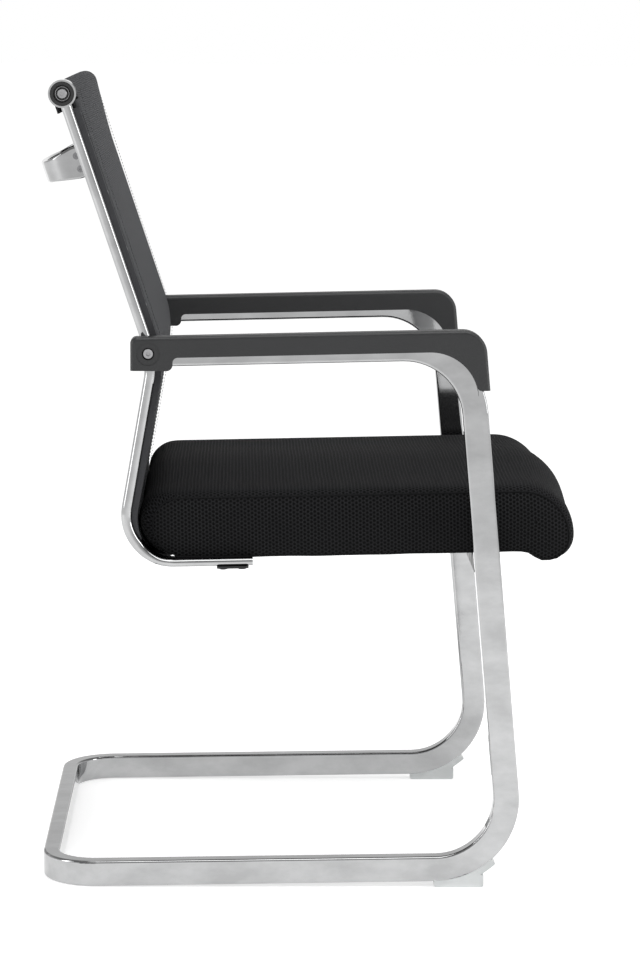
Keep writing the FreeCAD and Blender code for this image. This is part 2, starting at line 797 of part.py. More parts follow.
def handle_screw(tall):
    under = handle_place(handle_width / 2, handle_screw_reach, tall)
    head = rod(under, X, handle_screw_head_thick, handle_screw_head_radius)
    shank = rod(under, X * -1, handle_thick + bracket_thick + 1.5, handle_screw_radius)
    drive = hexagon(under + X * handle_screw_head_thick, X * -1, handle_screw_head_thick * 0.6, 3.0)
    return head.fuse(shank).cut(drive).removeSplitter()


def cross_tube():
    start = point(-back_inner_x, handle_root)
    return rod(start, X, 2 * back_inner_x, cross_tube_radius).cut(
        rod(start, X, 2 * back_inner_x, cross_tube_radius - cross_tube_wall))


def handle_bracket():
    corners = [(1.0, -bracket_tall / 2), (bracket_reach, -bracket_tall / 2),
               (bracket_reach, bracket_tall / 2), (1.0, bracket_tall / 2)]
    wire = rounded_polygon(corners, [3, 5, 5, 3], lambda reach, tall: handle_place(0, reach, tall))
    plate = prism(wire, bracket_out_x - bracket_thick, bracket_out_x)
    plate = plate.cut(rod(point(0, handle_root), X, frame_width, cross_tube_radius))
    for tall in handle_screw_heights():
        plate = plate.cut(handle_screw_rod(tall, handle_screw_radius))
    return plate


# Arm pads

pad_top_heading = rail_heading


def pad_outline():
    """Side view of the pad: rear boss, top over the rail, front drop, and the skirt's edge."""
    top_start = along(arm_bolt, rail_heading - 90, tube_height / 2 + pad_top_thick)
    front_start = along(low_corner, upright_heading - 90, tube_height / 2 + pad_top_thick)
    skirt_start = along(arm_bolt, rail_heading + 90, tube_height / 2 - pad_skirt_above_rail_bottom)
    inner_start = along(low_corner, upright_heading - 90,
                        tube_height / 2 - pad_skirt_above_rail_bottom)
    rear = arm_bolt_y + pad_rear_past_bolt
    boss_front = arm_bolt_y - pad_boss_front
    boss_low = arm_bolt_height - pad_boss_drop
    top_rear = crossing(top_start, rail_heading, (rear, 0), 90)
    top_front = crossing(top_start, rail_heading, front_start, upright_heading)
    drop = top_front[1] - pad_front_drop - tube_height / 2
    tip_front = crossing(front_start, upright_heading, (0, drop), 0)
    tip_back = crossing(inner_start, upright_heading, (0, drop), 0)
    skirt_front = crossing(skirt_start, rail_heading, inner_start, upright_heading)
    notch = crossing(skirt_start, rail_heading, (boss_front, 0), 90)
    corners = [(rear, boss_low), top_rear, top_front, tip_front, tip_back, skirt_front, notch,
               (boss_front, boss_low)]
    radii = [0, 7, pad_front_corner_radius, 0, 3.5, pad_inner_corner_radius, 6, 7]
    return side_outline(corners, radii)


def pad_pocket():
    """Hollow between the front bend and the pad's tighter corner, with ribs left standing."""
    top_start = along(arm_bolt, rail_heading - 90, tube_height / 2)
    front_start = along(low_corner, upright_heading - 90, tube_height / 2)
    corner = crossing(top_start, rail_heading, front_start, upright_heading)
    reach = tangent_run(bend_radius + tube_height / 2, rail_turn)
    back = along(corner, rail_heading, -reach)
    down = along(corner, upright_heading, reach)
    wire = side_outline([corner, down, back], [pad_front_corner_radius - pad_top_thick, 0, 0])
    pocket = prism(wire, rail_x - tube_width / 2, rail_x + tube_width / 2)
    heading = (rail_heading + upright_heading) / 2 + 90
    for shift in (-pad_rib_spacing, 0.0, pad_rib_spacing):
        foot = along(corner, heading - 90, shift)
        rib = Part.makeBox(tube_width, pad_rib_length, pad_rib_thick)
        turn = FreeCAD.Rotation(X, heading + 180)
        rib.Placement = FreeCAD.Placement(
            point(rail_x - tube_width / 2, along(foot, heading, pad_rib_length / 2)), turn)
        pocket = pocket.cut(rib)
    return pocket


def arm_pad():
    body = prism(pad_outline(), rail_x - pad_half, rail_x + pad_half)
    top_edges = [edge for edge in body.Edges
                 if abs(edge.CenterOfMass.x - rail_x) > pad_half - 0.1 and edge.Length > 150
                 and edge.CenterOfMass.z > arm_bolt_height + tube_height / 2]
    body = body.makeFillet(pad_edge_radius, top_edges)
    body = body.cut(pad_pocket())
    body = body.cut(frame_outer)
    outside = rail_x + pad_half
    inside = rail_x - pad_half
    dish = rod(point(outside - pad_dish_depth, arm_bolt), X, pad_dish_depth + 1, pad_dish_radius)
    body = body.cut(dish)
    body = body.cut(rod(point(rail_x, arm_bolt), X, pad_half + 1, arm_bush_radius))
    body = body.cut(rod(point(inside - 1, arm_bolt), X, pad_half, arm_bolt_radius + hole_clearance))
    return body.cut(pad_screws())


def arm_bush():
    """Black bush through the rail's end: the bolt head sits in it."""
    outside = rail_x + pad_half - pad_dish_depth
    inside = rail_x - tube_width / 2
    bush = rod(point(inside, arm_bolt), X, outside - inside, arm_bush_radius)
    seat = outside - arm_bolt_head_length - 1.5
    bush = bush.cut(rod(point(seat, arm_bolt), X, arm_bolt_head_length + 3,
                        arm_bolt_head_radius + 0.8))
    return bush.cut(rod(point(inside - 1, arm_bolt), X, tube_width, arm_bolt_radius + hole_clearance))


def arm_bolt_solid():
    outside = rail_x + pad_half - pad_dish_depth
    under = point(outside - arm_bolt_head_length - 1.5, arm_bolt)
    length = under.x - back_inner_x + arm_bolt_tail
    return socket_bolt(under, X * -1, length, arm_bolt_radius, arm_bolt_head_radius,
                       arm_bolt_head_length, 5.0)


def arm_washer():
    start = point(back_inner_x, arm_bolt)
    hole = rod(start, X * -1, arm_washer_thick, arm_bolt_radius + hole_clearance)
    return rod(start, X * -1, arm_washer_thick, arm_washer_radius).cut(hole)


def arm_nut():
    """Cap nut on the inner side of the back tube."""
    seat = point(back_inner_x - arm_washer_thick, arm_bolt)
    nut = hexagon(seat, X * -1, arm_nut_height, arm_nut_across)
    middle = seat - X * arm_nut_dome_radius
    dome = Part.makeSphere(arm_nut_dome_radius, middle)
    nut = nut.fuse(dome.cut(rod(middle, X, arm_nut_across, arm_nut_across)))
    depth = arm_bolt_tail - arm_washer_thick + 0.5
    return nut.cut(rod(seat, X * -1, depth, arm_bolt_radius)).removeSplitter()


def pad_screw_places():
    """Where the pad's screws cross the rail's middle line."""
    return [point(rail_x, along(arm_bolt, rail_heading, station)) for station in pad_screw_stations]


def rail_holes():
    """Holes of the rail: the bush's, and a screw's in the top wall below a wide one for its head."""
    up = direction_of(rail_heading - 90)
    holes = rod(point(rail_x - tube_width, arm_bolt), X, 2 * tube_width, arm_bush_radius)
    for middle in pad_screw_places():
        reach = tube_height / 2 + 1
        holes = holes.fuse([rod(middle, up, reach, pad_screw_radius + hole_clearance),
                            rod(middle, up * -1, reach, pad_screw_head_radius + pad_screw_room)])
    return holes


def pad_screws():
    """Screws inside the rail, up through its top wall into the pad."""
    screws = []
    up = direction_of(rail_heading - 90)
    for middle in pad_screw_places():
        seat = middle + up * (tube_height / 2 - tube_wall)
        shank = rod(seat, up, tube_wall + pad_screw_bite, pad_screw_radius)
        head = rod(seat, up * -1, pad_screw_head_thick, pad_screw_head_radius)
        screws.append(head.fuse(shank).removeSplitter())
    return screws


def rail_plug():
    """Plastic plug that closes the rail's rear end inside the pad's boss."""
    width = tube_width - 2 * tube_wall
    height = tube_height - 2 * tube_wall
    start = point(rail_x, along(rail_end, rail_heading, 3.0))
    face = Part.Face(rectangle_section(start, X, direction_of(rail_heading - 90), width, height,
                                       tube_corner - tube_wall))
    return face.extrude(direction_of(rail_heading) * -3.0)


# Seat

seat_front = (seat_datum[0] + overall_depth / 2 - seat_front_bow) / math.cos(math.radians(seat_slope))
seat_stations = [(0.0, 0.0), (seat_edge_round * 0.45, 0.12), (seat_edge_round * 0.78, 0.4),
                 (seat_edge_round, 1.0)]


def seat_section(x, sunk, trim=0.0, lift=0.0, bow=0.0, draw=0.0):
    """Side view of the cushion, forward and up from the flat tube end's top.

    sunk goes from 0 on the crown to 1 at the side seam, trim is the depth below the cover's
    outside, and draw is how far the side panel is drawn in from the seam."""
    rear = -seat_rear_reach + seat_seam_rear * sunk + trim + draw
    top = seat_thick - seat_seam_top * sunk + lift - trim - draw
    front = seat_front - seat_seam_front * sunk + bow - trim - draw
    floor = trim + draw
    share = (top - lift - floor) / seat_thick
    low = floor - seat_nose_drop * share
    corners = [(rear + 37 * share, floor), (rear + 12.5 * share, floor + 10.5 * share),
               (rear, floor + 33 * share), (rear, top), (front, top), (front, low),
               (front - 37 * share, low), (front - 55 * share, floor)]
    radii = [radius * share for radius in (6, 22, 24, 33, 60, 26, 8, 8)]
    return rounded_polygon(corners, radii, lambda forward, up: seat_place(x, forward, up))


def seat_loft(trim=0.0):
    """Cushion from seam to seam, crowned in the middle."""
    flat = seat_width / 2 - seat_edge_round
    wires = []
    for x, sunk in reversed(seat_stations):
        wires.append(seat_section(-flat - x, sunk, trim))
    for share in (-0.5, 0.0, 0.5):
        crown = 1 - (2 * share * 0.9) ** 2
        wires.append(seat_section(share * 2 * flat * 0.75, 0.0, trim, seat_crown * crown,
                                  seat_front_bow * crown))
    for x, sunk in seat_stations:
        wires.append(seat_section(flat + x, sunk, trim))
    return Part.makeLoft(wires, True, False)


def seat_side():
    """Side panel of thick spacer fabric, swelling out from the seam."""
    start = seat_width / 2
    wires = [seat_section(start, 1.0), seat_section(start + seat_side_swell * 0.6, 1.0, draw=6.0),
             seat_section(start + seat_side_swell, 1.0, draw=16.0)]
    return Part.makeLoft(wires, True, False)


board_front = seat_front - board_front_inset
board_rear = -(seat_rear_reach - board_rear_inset)


def board_plate(low, high, margin):
    """Plate with round corners in the seat plane."""
    half = seat_width / 2 - margin
    inset = margin - board_margin
    rear = board_rear + inset
    front = board_front - inset
    corners = [(-half, rear), (half, rear), (half, front), (-half, front)]
    wire = rounded_polygon(corners, [board_corner_radius] * 4,
                           lambda x, forward: seat_place(x, forward, low))
    return Part.Face(wire).extrude(up_way * (high - low))


def board_room(low, high):
    """What the foam leaves free over the board's whole length, from side to side."""
    half = seat_width / 2 + seat_side_swell
    corners = [(-half, board_rear), (half, board_rear), (half, board_front), (-half, board_front)]
    wire = rounded_polygon(corners, [0] * 4, lambda x, forward: seat_place(x, forward, low))
    return Part.Face(wire).extrude(up_way * (high - low))


# Bolts under the seat

member_line = along(seat_datum, flat_heading + 90, mount_plate_thick + cross_member_tall / 2)
cross_member_centre = crossing(low_corner, upright_heading, member_line, flat_heading)
cross_member_forward = distance(member_line, cross_member_centre)


def front_bolt_places():
    return [(x, cross_member_forward + shift) for x in (mount_plate_from_middle,)
            for shift in (-front_bolt_spacing / 2, front_bolt_spacing / 2)]


def rear_bolt_places():
    return [(back_tube_x - rear_bolt_inward, -inset) for inset in rear_bolt_insets]


def cross_member():
    half = frame_width / 2 - tube_width
    start = point(-half, cross_member_centre)
    outer = Part.Face(rectangle_section(start, forward_way, up_way, cross_member_deep,
                                        cross_member_tall, tube_corner))
    inner = Part.Face(rectangle_section(start, forward_way, up_way, cross_member_deep - 2 * tube_wall,
                                        cross_member_tall - 2 * tube_wall, 1.5))
    return outer.cut(inner).extrude(X * (2 * half))


def mount_plate():
    """Plate welded on the cross member, bolted to the seat board."""
    deep = mount_plate_deep / 2
    wide = mount_plate_wide / 2
    corners = [(-wide, -deep), (wide, -deep), (wide, deep), (-wide, deep)]
    wire = rounded_polygon(corners, [6] * 4, lambda x, forward: seat_place(
        mount_plate_from_middle + x, cross_member_forward + forward, 0))
    plate = Part.Face(wire).extrude(up_way * -mount_plate_thick)
    for x, forward in front_bolt_places():
        plate = plate.cut(rod(seat_place(x, forward, -10), up_way, 12,
                              seat_bolt_radius + hole_clearance))
    return plate


def clamp_plate():
    low = -pressed_thick - clamp_plate_thick
    rear = -(clamp_plate_from_end + clamp_plate_long)
    wide = clamp_plate_wide / 2
    corners = [(-wide, rear), (wide, rear), (wide, -clamp_plate_from_end),
               (-wide, -clamp_plate_from_end)]
    wire = rounded_polygon(corners, [4] * 4, lambda x, forward: seat_place(
        back_tube_x + x, forward, low))
    plate = Part.Face(wire).extrude(up_way * clamp_plate_thick)
    for x, forward in rear_bolt_places():
        plate = plate.cut(rod(seat_place(x, forward, low - 1), up_way, clamp_plate_thick + 2,
                              seat_bolt_radius + hole_clearance))
    return plate


def seat_bolt(x, forward, under):
    top = board_thick + seat_cover_thick - 2
    return socket_bolt(seat_place(x, forward, under), up_way, top - under, seat_bolt_radius,
                       seat_bolt_head_radius, seat_bolt_head_length, 4.0)


def seat_nut(x, forward):
    """T-nut pressed into the board from above."""
    top = board_thick + seat_cover_thick
    barrel = rod(seat_place(x, forward, seat_cover_thick + 1), up_way, board_thick - 1,
                 nut_barrel_radius)
    flange = rod(seat_place(x, forward, top), up_way, nut_flange_thick, nut_flange_radius)
    hole = rod(seat_place(x, forward, 0), up_way, top + 5, seat_bolt_radius)
    return barrel.fuse(flange).cut(hole).removeSplitter()


all_nut_places = front_bolt_places() + rear_bolt_places()


def nut_rooms():
    rooms = []
    top = board_thick + seat_cover_thick
    for x, forward in all_nut_places:
        barrel = rod(seat_place(x, forward, seat_cover_thick - 1), up_way, board_thick + 1,
                     nut_barrel_radius)
        flange = rod(seat_place(x, forward, top), up_way, nut_flange_thick, nut_flange_radius)
        rooms += [barrel, flange, mirrored(barrel), mirrored(flange)]
    return rooms


def seat_parts():
    cover_low = seat_cover_thick
    inner = seat_loft(seat_cover_thick)
    board = board_plate(cover_low, cover_low + board_thick, board_margin)
    dust_cover = board_plate(0.0, cover_low, dust_cover_margin)
    top_cover = seat_loft().cut([inner, dust_cover])
    side = seat_side()
    rooms = nut_rooms()
    foam = inner.cut([board_room(cover_low - 1, cover_low + board_thick)] + rooms)
    board = board.cut(rooms)
    holes = []
    for x, forward in all_nut_places:
        hole = rod(seat_place(x, forward, -1), up_way, cover_low + 2,
                   seat_bolt_radius + hole_clearance)
        holes += [hole, mirrored(hole)]
    dust_cover = dust_cover.cut(holes)
    return {"seat_board": board, "seat_foam": foam, "seat_dust_cover": dust_cover,
            "seat_top_cover": top_cover.cut(holes), "seat_side_cover_right": side,
            "seat_side_cover_left": mirrored(side)}


# Floor glides

def glide():
    """Saddle under the front of the runner, with a wing that follows the bend."""
    bend_end = along(low_corner, runner_heading, tangent_run(bend_radius, runner_turn))
    bend_centre = along(bend_end, runner_heading + 90, bend_radius)
    rear = bend_end[0] + 2.0
    front = rear - glide_rear_length
    block = side_outline([(rear, 0), (rear, 40), (front, 40), (front, 0)], [2, 0, 0, 3])
    half = tube_width / 2 - 0.5
    body = prism(block, rail_x - half, rail_x + half)
    middle = point(rail_x, bend_centre)
    ring_out = rod(middle - X * half, X, 2 * half, bend_radius + tube_height / 2 + glide_wing_thick)
    body = body.common(ring_out).fuse(body.common(side_box(front, rear, 0, 15)))
    wing = ring_out.cut(rod(middle - X * half, X, 2 * half, bend_radius))
    reach = 2 * bend_radius
    tip = along(bend_centre, runner_heading - 90 - glide_wing_turn, reach)
    edge = along(bend_centre, runner_heading - 90, reach)
    sector = side_outline([bend_centre, edge, tip], [0, 0, 0])
    wing = wing.common(prism(sector, rail_x - half, rail_x + half))
    glide_body = body.fuse(wing).cut(frame_outer).cut(glide_hole())
    return max(glide_body.removeSplitter().Solids, key=lambda solid: solid.Volume)


def side_box(y_low, y_high, z_low, z_high):
    return Part.makeBox(tube_width, y_high - y_low, z_high - z_low,
                        FreeCAD.Vector(rail_x - tube_width / 2, y_low, z_low))


def glide_pin_start():
    bend_end = along(low_corner, runner_heading, tangent_run(bend_radius, runner_turn))
    there = along(bend_end, runner_heading, -14.0)
    return point(rail_x, (there[0], 2.5))


def glide_hole():
    return rod(glide_pin_start(), FreeCAD.Vector(0, 0, 1), 12, glide_pin_radius)


def glide_pin():
    up = FreeCAD.Vector(0, 0, 1)
    return rod(glide_pin_start(), up, glide_pin_length, glide_pin_radius)


def make_parts():
    parts = {}
    frame = frame_right.cut(rail_holes()).cut(glide_hole())
    parts["frame_right"] = frame
    parts["rear_bar_sleeve"] = joint_sleeve()
    tube = back_tube()
    sided = {"frame": frame, "back_tube": tube, "top_boss": top_boss(), "top_plug": top_plug(),
             "edge_profile": edge_profile(), "edge_cord": edge_cord(), "arm_pad": arm_pad(),
             "floor_glide": glide(), "mount_plate": mount_plate(), "clamp_plate": clamp_plate(),
             "handle_bracket": handle_bracket()}
    for name, shape in sided.items():
        parts[name + "_right"] = shape
        parts[name + "_left"] = mirrored(shape)
    screws = [handle_screw(tall) for tall in handle_screw_heights()]
    front_bolts = [seat_bolt(x, forward, -mount_plate_thick) for x, forward in front_bolt_places()]
    rear_bolts = [seat_bolt(x, forward, -pressed_thick - clamp_plate_thick)
                  for x, forward in rear_bolt_places()]
    nuts = [seat_nut(x, forward) for x, forward in all_nut_places]
    paired = {"top_washers": [top_washer()], "top_bolts": [top_bolt()],
              "top_bar_inserts": [top_insert()], "arm_bushes": [arm_bush()],
              "arm_bolts": [arm_bolt_solid()], "arm_washers": [arm_washer()],
              "arm_cap_nuts": [arm_nut()], "arm_pad_screws": pad_screws(),
              "rail_end_plugs": [rail_plug()], "handle_screws": screws,
              "seat_front_bolts": front_bolts, "seat_rear_bolts": rear_bolts,
              "seat_nuts": nuts, "glide_pins": [glide_pin()],
              "profile_rivets": rivet_rods()}
    for name, shapes in paired.items():
        parts[name] = Part.makeCompound(shapes + [mirrored(shape) for shape in shapes])
    parts["top_bar"] = top_bar()
    parts["back_mesh"] = back_mesh()
    parts["hem_bar"] = hem_bar()
    parts["handle"] = handle()
    parts["back_cross_tube"] = cross_tube()
    parts["seat_cross_member"] = cross_member()
    parts.update(seat_parts())
    return parts


os.makedirs("parts", exist_ok=True)
for part_name, part_shape in make_parts().items():
    save(part_name, part_shape)
    print(part_name, len(part_shape.Solids), round(part_shape.Volume), part_shape.isValid())
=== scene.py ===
import math

import bmesh
import bpy
from mathutils import Matrix, Vector, noise
from mathutils.bvhtree import BVHTree


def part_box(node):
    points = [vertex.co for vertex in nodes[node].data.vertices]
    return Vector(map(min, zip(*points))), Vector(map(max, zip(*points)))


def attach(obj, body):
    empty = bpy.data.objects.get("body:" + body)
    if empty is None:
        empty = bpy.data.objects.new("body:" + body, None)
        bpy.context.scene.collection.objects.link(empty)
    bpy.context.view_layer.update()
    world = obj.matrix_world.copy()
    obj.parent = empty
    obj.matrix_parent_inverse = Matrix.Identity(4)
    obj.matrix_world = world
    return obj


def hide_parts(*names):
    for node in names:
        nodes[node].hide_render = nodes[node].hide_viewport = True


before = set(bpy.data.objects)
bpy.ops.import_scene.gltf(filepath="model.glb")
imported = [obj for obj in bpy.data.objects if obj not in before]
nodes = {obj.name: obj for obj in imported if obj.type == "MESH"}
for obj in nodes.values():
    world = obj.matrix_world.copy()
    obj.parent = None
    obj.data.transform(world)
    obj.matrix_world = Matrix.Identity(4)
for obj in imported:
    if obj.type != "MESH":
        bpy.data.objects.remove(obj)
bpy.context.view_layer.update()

# Metres, in the frame of the solids: X across the chair, the front is -Y, the floor is Z = 0.

scene = bpy.context.scene
scene.view_settings.view_transform = "Standard"


# Materials

class Finish:
    """A material whose nodes are made one by one, each call giving the output to go on with."""

    def __init__(self, name, colour, roughness, metallic=0.0, **sockets):
        self.material = bpy.data.materials.new(name)
        self.material.use_nodes = True
        self.nodes = self.material.node_tree.nodes
        self.shader = self.nodes["Principled BSDF"]
        self.set("Base Color", (*colour, 1.0) if isinstance(colour, tuple) else colour)
        self.set("Roughness", roughness)
        self.set("Metallic", metallic)
        for socket, value in sockets.items():
            self.set(socket.replace("_", " "), value)

    def set(self, socket, value, node=None):
        place = (node or self.shader).inputs[socket]
        if isinstance(value, bpy.types.NodeSocket):
            self.material.node_tree.links.new(value, place)
        else:
            place.default_value = value

    def node(self, kind, output=0, settings=(), **values):
        made = self.nodes.new("ShaderNode" + kind)
        for name, value in settings:
            setattr(made, name, value)
        for name, value in values.items():
            key = int(name[1:]) if name[0] == "i" and name[1:].isdigit() else name.replace("_", " ")
            self.set(key, value, made)
        return made.outputs[output]

    def math(self, operation, a, b=0.0):
        return self.node("Math", settings=[("operation", operation)], i0=a, i1=b)

    def vector(self, operation, a, b=(0, 0, 0)):
        output = 1 if operation == "LENGTH" else 0
        return self.node("VectorMath", output, [("operation", operation)], i0=a, i1=b)

    def places(self, scale=(1, 1, 1)):
        """Place on the object, stretched by scale."""
        there = self.node("TexCoord", 3)
        return self.node("Mapping", Vector=there, Scale=scale)

    def cloth_places(self):
        return self.node("UVMap", settings=[("uv_map", "weave")])

    def noise(self, scale, where=None, detail=3.0, rough=0.5):
        return self.node("TexNoise", Vector=where or self.places(), Scale=scale, Detail=detail,
                         Roughness=rough)

    def between(self, value, low, high, new_low, new_high, smooth=False):
        kind = "SMOOTHSTEP" if smooth else "LINEAR"
        return self.node("MapRange", settings=[("interpolation_type", kind)], i0=value, i1=low,
                         i2=high, i3=new_low, i4=new_high)

    def blend(self, share, first, second):
        made = self.nodes.new("ShaderNodeMix")
        made.data_type = "RGBA"
        self.set(0, share, made)
        self.set(6, (*first, 1.0) if isinstance(first, tuple) else first, made)
        self.set(7, (*second, 1.0) if isinstance(second, tuple) else second, made)
        return made.outputs[2]

    def bump(self, height, distance, strength=1.0, under=None):
        values = {"Height": height, "Distance": distance, "Strength": strength}
        if under is not None:
            values["Normal"] = under
        return self.node("Bump", **values)


def chrome(name, shade=1.0, dull=0.0):
    """Plated tube with faint clouds in its tone, a little haze and a slight ripple."""
    dark = tuple(shade * c for c in (0.36, 0.362, 0.365))
    light = tuple(shade * c for c in (0.44, 0.443, 0.446))
    finish = Finish(name, light, 0.06, 1.0)
    cloud = finish.noise(32.0, finish.places((1, 0.5, 1)), 5.0, 0.6)
    finish.set("Base Color", finish.blend(finish.between(cloud, 0.35, 0.65, 0, 1), dark, light))
    smudge = finish.noise(9.0, detail=4.0)
    grain = finish.noise(160.0, finish.places((1, 0.05, 1)), 2.0)
    haze = finish.math("ADD", finish.between(smudge, 0.3, 0.7, 0.03, 0.08),
                       finish.between(grain, 0.4, 0.6, dull, dull + 0.02))
    finish.set("Roughness", haze)
    ripple = finish.noise(14.0, finish.places((1, 0.6, 0.6)), 1.0)
    finish.set("Normal", finish.bump(ripple, 0.0004, 0.5))
    return finish.material


def steel(name, colour, roughness, metallic=1.0):
    finish = Finish(name, colour, roughness, metallic)
    wear = finish.noise(60.0, detail=5.0)
    finish.set("Roughness", finish.between(wear, 0.3, 0.7, roughness - 0.08, roughness + 0.1))
    dark = tuple(0.7 * c for c in colour)
    finish.set("Base Color", finish.blend(finish.between(wear, 0.35, 0.7, 0, 1), dark, colour))
    finish.set("Normal", finish.bump(finish.noise(500.0), 0.0001, 0.4))
    return finish.material


def plastic(name, colour, roughness, grain_size=900.0, depth=0.00012, **sockets):
    finish = Finish(name, colour, roughness, **sockets)
    grain = finish.node("TexVoronoi", Vector=finish.places(), Scale=grain_size)
    soft = finish.noise(14.0, detail=3.0)
    light = tuple(min(1.0, 1.25 * c) for c in colour)
    finish.set("Base Color", finish.blend(finish.between(soft, 0.3, 0.7, 0, 1), colour, light))
    finish.set("Roughness", finish.between(soft, 0.3, 0.7, roughness - 0.05, roughness + 0.07))
    finish.set("Normal", finish.bump(grain, depth, 0.6))
    return finish.material


def hole_distance(finish, where, pitch):
    """Distance from the middle of the nearest hole, where holes stand in a honeycomb."""
    tall = pitch * math.sqrt(3)
    steps = finish.vector("MULTIPLY", where, (1 / pitch, 1 / tall, 0))
    nearest = None
    for shift in (0.0, 0.5):
        moved = finish.vector("ADD", steps, (shift, shift, 0))
        local = finish.vector("SUBTRACT", finish.vector("FRACTION", moved), (0.5, 0.5, 0))
        away = finish.vector("LENGTH", finish.vector("MULTIPLY", local, (pitch, tall, 0)))
        nearest = away if nearest is None else finish.math("MINIMUM", nearest, away)
    return nearest


def spacer_fabric(name, colour, pitch, radius, depth=0.0006, uneven=0.1, gloss=0.1, sheen=0.0):
    """Knitted mesh fabric: holes in a honeycomb between raised yarns. The holes are painted dark as
    shade, and the yarns' crests are painted lighter as a highlight.
    """
    finish = Finish(name, colour, 0.85, Specular_IOR_Level=gloss, Sheen_Weight=sheen,
                    Sheen_Roughness=0.4, Sheen_Tint=(0.6, 0.62, 0.66, 1.0))
    where = finish.cloth_places()
    pull = finish.node("TexNoise", 1, Vector=where, Scale=18.0, Detail=1.0)
    pulled = finish.vector("MULTIPLY", finish.vector("SUBTRACT", pull, (0.5, 0.5, 0.5)),
                           (uneven * pitch * 4, uneven * pitch * 4, 0))
    away = hole_distance(finish, finish.vector("ADD", where, pulled), pitch)
    open_part = finish.between(away, radius * 0.65, radius * 1.3, 0, 1, smooth=True)
    crest_bump_and_highlight = finish.between(away, radius, pitch * 0.56, 0, 1, smooth=True)
    yarn = finish.noise(1100.0, finish.vector("MULTIPLY", where, (1, 0.35, 1)), 2.0)
    shade = finish.noise(26.0, where, 3.0)
    # The darkest of these tones is painted shade for the holes, and the lightest is a painted
    # highlight for the yarns' crests.
    hole_shade, low, high = (tuple(k * c for c in colour) for k in (0.1, 0.75, 2.4))
    # Painted highlight: the yarn grows lighter towards its crests, away from the holes.
    thread = finish.blend(crest_bump_and_highlight, low, high)
    thread = finish.blend(finish.between(yarn, 0.35, 0.7, 0, 0.5), thread, low)
    thread = finish.blend(finish.between(shade, 0.35, 0.65, 0, 0.3), thread, colour)
    # Painted shade: the holes take a tone a tenth of the yarn's.
    finish.set("Base Color", finish.blend(open_part, hole_shade, thread))
    finish.set("Roughness", finish.between(yarn, 0.3, 0.7, 0.72, 0.92))
    fine = finish.bump(yarn, 0.00015, 0.7)
    raised = finish.math("ADD", finish.math("MULTIPLY", open_part, 0.6),
                         finish.math("MULTIPLY", crest_bump_and_highlight, 0.4))
    finish.set("Normal", finish.bump(raised, depth, 0.9, fine))
    return finish.material


def woven(name, colour, pitch=0.0012, depth=0.0002):
    """Plain tight cloth, such as tape, webbing or the felt under the seat."""
    finish = Finish(name, colour, 0.85, Specular_IOR_Level=0.12)
    where = finish.places()
    fibres = finish.noise(1 / pitch, where, 4.0, 0.7)
    light = tuple(1.8 * c for c in colour)
    finish.set("Base Color", finish.blend(finish.between(fibres, 0.35, 0.65, 0, 1), colour, light))
    finish.set("Normal", finish.bump(fibres, depth, 0.8))
    return finish.material


def ply(name):
    finish = Finish(name, (0.42, 0.27, 0.14), 0.6)
    grain = finish.noise(30.0, finish.places((1, 6, 6)), 5.0)
    finish.set("Base Color", finish.blend(grain, (0.30, 0.18, 0.09), (0.52, 0.36, 0.2)))
    finish.set("Normal", finish.bump(grain, 0.0003, 0.4))
    return finish.material


finishes = {
    "chrome_tube": chrome("chrome_tube"),
    "chrome_handle": chrome("chrome_handle", 0.95, 0.05),
    "plain_steel": steel("plain_steel", (0.32, 0.32, 0.33), 0.35),
    "bright_fastener": steel("bright_fastener", (0.45, 0.45, 0.46), 0.25),
    "black_steel": steel("black_steel", (0.02, 0.02, 0.021), 0.4, 0.3),
    "black_plastic": plastic("black_plastic", (0.012, 0.012, 0.013), 0.42),
    "pad_plastic": plastic("pad_plastic", (0.016, 0.0165, 0.0175), 0.42, 1100.0, 0.0002),
    "glide_plastic": plastic("glide_plastic", (0.72, 0.74, 0.74), 0.35, 700.0, 0.0001,
                             Transmission_Weight=0.25),
    "back_mesh": spacer_fabric("back_mesh", (0.036, 0.0365, 0.039), pitch=0.0027, radius=0.0009,
                               depth=0.0004, uneven=0.03, gloss=0.25, sheen=0.1),
    "seat_fabric": spacer_fabric("seat_fabric", (0.0095, 0.0096, 0.0104), pitch=0.0047,
                                 radius=0.00135, depth=0.0009),
    "side_fabric": spacer_fabric("side_fabric", (0.0098, 0.0099, 0.0105), pitch=0.0047,
                                 radius=0.00135, depth=0.0009),
    "edge_tape": woven("edge_tape", (0.042, 0.0425, 0.045), 0.001),
    "seam_tape": woven("seam_tape", (0.0055, 0.0056, 0.006), 0.001),
    "plywood": ply("plywood"),
    "dust_cover": woven("dust_cover", (0.012, 0.012, 0.012)),
}


# Nodes of the solids that stay in view, by finish

dressing = {
    "chrome_tube": ["frame_left", "frame_right", "rear_bar_sleeve", "back_tube_left",
                    "back_tube_right", "top_boss_left", "top_boss_right"],
    "chrome_handle": ["handle", "back_cross_tube", "handle_bracket_left", "handle_bracket_right"],
    "plain_steel": ["seat_front_bolts", "seat_nuts", "handle_screws", "profile_rivets",
                    "arm_pad_screws", "top_bar_inserts"],
    "bright_fastener": ["top_bolts", "arm_bolts", "arm_cap_nuts"],
    "black_steel": ["top_bar", "hem_bar", "seat_cross_member", "mount_plate_left",
                    "mount_plate_right", "clamp_plate_left", "clamp_plate_right",
                    "top_washers", "arm_washers", "seat_rear_bolts"],
    "black_plastic": ["top_plug_left", "top_plug_right", "arm_bushes", "rail_end_plugs",
                      "glide_pins", "edge_cord_left", "edge_cord_right"],
    "edge_tape": ["edge_profile_left", "edge_profile_right"],
    "pad_plastic": ["arm_pad_left", "arm_pad_right"],
    "glide_plastic": ["floor_glide_left", "floor_glide_right"],
    "plywood": ["seat_board"],
}
